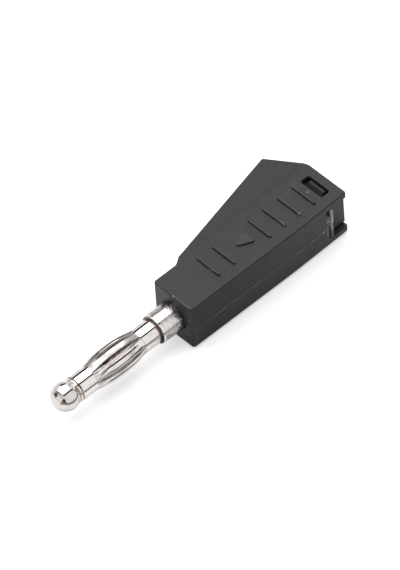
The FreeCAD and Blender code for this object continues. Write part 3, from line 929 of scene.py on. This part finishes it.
def make_floor():
    """White paper, darker in the metal where the plug's own shade and the dark room show."""
    height = cad_low.z - FLOOR_GAP * MM
    floor = plane("floor", 4.0, 4.0, Matrix.Translation((0, 0, height)))
    material, tree, surface = new_material("floor_paper")
    x, y = place_parts(tree)[1:3]
    path = add(tree, "ShaderNodeLightPath").outputs
    beside = product(tree, ramp(tree, x, -3, 2), ramp(tree, y, 2, -4),
                     ramp(tree, x, 3, 26, 1.0, 0.1))
    away = product(tree, ramp(tree, y, -9, -14), ramp(tree, y, -70, -50))
    foot = product(tree, band(tree, x, -1.3, 0.2, 0.5), ramp(tree, y, 1.5, -2))
    shaded = highest(tree, product(tree, beside, 0.5), product(tree, away, 0.8),
                     product(tree, foot, 0.6))
    mirrored = product(tree, path["Is Glossy Ray"], shaded)

    diffuse = add(tree, "ShaderNodeBsdfDiffuse")
    paper = mix_color(tree, mirrored, (0.86, 0.86, 0.86), (0.08, 0.075, 0.07))
    join(tree, paper, diffuse.inputs["Color"])
    glow = add(tree, "ShaderNodeEmission")
    lit = product(tree, seen_rays(tree), 0.2)
    lit = product(tree, lit, math_node(tree, "SUBTRACT", 1.0, mirrored))
    lit = total(tree, lit, product(tree, path["Is Camera Ray"], 0.25))
    join(tree, lit, glow.inputs["Strength"])
    both = add(tree, "ShaderNodeAddShader")
    join(tree, diffuse.outputs[0], both.inputs[0])
    join(tree, glow.outputs[0], both.inputs[1])
    join(tree, both.outputs[0], surface)
    floor.data.materials.append(material)


def make_world():
    """White where it is seen, and dimmer where it only lights."""
    world = bpy.data.worlds.new("studio")
    world.use_nodes = True
    tree = world.node_tree
    tree.nodes.clear()
    output = add(tree, "ShaderNodeOutputWorld")
    background = add(tree, "ShaderNodeBackground")
    background.inputs["Color"].default_value = (1, 1, 1, 1)
    strength = remap(tree, seen_rays(tree), 0, 1, 0.45, 1.0)
    join(tree, strength, background.inputs["Strength"])
    join(tree, background.outputs[0], output.inputs["Surface"])
    bpy.context.scene.world = world


def lamp(name, place, size_x, size_y, watts):
    """A rectangular lamp that faces the origin."""
    data = bpy.data.lights.new(name, "AREA")
    data.shape = "RECTANGLE"
    data.size = size_x
    data.size_y = size_y
    data.energy = watts
    thing = bpy.data.objects.new(name, data)
    bpy.context.scene.collection.objects.link(thing)
    turn = (-Vector(place)).to_track_quat("-Z", "Y").to_matrix().to_4x4()
    thing.matrix_world = Matrix.Translation(place) @ turn
    return thing


def card(name, angle, half_angle, middle, half_length, shade, distance=0.5):
    """A card that shows only in reflections, on the line of sight that the pin's sides mirror.

    The angle goes round the pin axis, from the wing's side over the top to the straight side.
    The middle and half the length along the axis are shares of the distance."""
    turn = math.radians(angle)
    out = Vector((0, math.cos(turn), math.sin(turn)))
    place = out * distance + Vector((middle * distance, 0, 0))
    along = Vector((1, 0, 0))
    across = Vector((0, -math.sin(turn), math.cos(turn)))
    basis = Matrix((along, across, along.cross(across))).transposed().to_4x4()
    length = half_length * 2 * distance
    width = 2 * distance * math.tan(math.radians(half_angle))
    thing = plane(name, length, width, Matrix.Translation(place) @ basis)
    material, tree, surface = new_material(name)
    glow = add(tree, "ShaderNodeEmission")
    glow.inputs["Color"].default_value = shade + (1.0,)
    join(tree, glow.outputs[0], surface)
    thing.data.materials.append(material)
    thing.visible_camera = False
    thing.visible_diffuse = False
    thing.visible_shadow = False
    thing.visible_volume_scatter = False


def make_camera():
    """The view that was solved from the corners of the housing; distances in metres."""
    right = Vector((0.7226, -0.6894, -0.0495))
    up = Vector((0.5426, 0.5214, 0.6585))
    back = right.cross(up).normalized()
    target = Vector((5.58, 1.20, 0.0)) * MM
    distance = 1.545
    data = bpy.data.cameras.new("camera")
    data.type = "PERSP"
    data.lens = 800
    data.sensor_width = 36
    data.clip_start = 0.01
    data.clip_end = 20
    camera = bpy.data.objects.new("camera", data)
    bpy.context.scene.collection.objects.link(camera)
    turn = Matrix((right, up, back)).transposed().to_4x4()
    camera.matrix_world = Matrix.Translation(target + back * distance) @ turn
    bpy.context.scene.camera = camera


make_floor()
make_world()
lamp("top_light", (0.025, 0.135, 0.47), size_x=0.64, size_y=0.62, watts=2.42)
front_light = lamp("front_light", (-0.75, 0.75, 0.22), size_x=0.35, size_y=0.3, watts=2.0)
front_light.visible_glossy = False
card("card_grey", angle=14, half_angle=15, middle=0.5, half_length=1.3,
     shade=(0.85, 0.82, 0.84))
card("card_black_high", angle=35, half_angle=10, middle=0.5, half_length=0.33,
     shade=(0.002, 0.002, 0.002))
card("card_black_top", angle=111, half_angle=7, middle=0.5, half_length=1.3,
     shade=(0.04, 0.035, 0.035))
card("card_black_left", angle=74, half_angle=34, middle=-0.70, half_length=0.07,
     shade=(0.03, 0.03, 0.03))
card("card_corner", angle=27, half_angle=20, middle=-1.25, half_length=0.55,
     shade=(0.13, 0.12, 0.12), distance=0.44)
card("card_low", angle=160, half_angle=22, middle=-1.35, half_length=0.5,
     shade=(0.14, 0.09, 0.07), distance=0.44)
make_camera()
bpy.context.scene.view_settings.view_transform = "Standard"
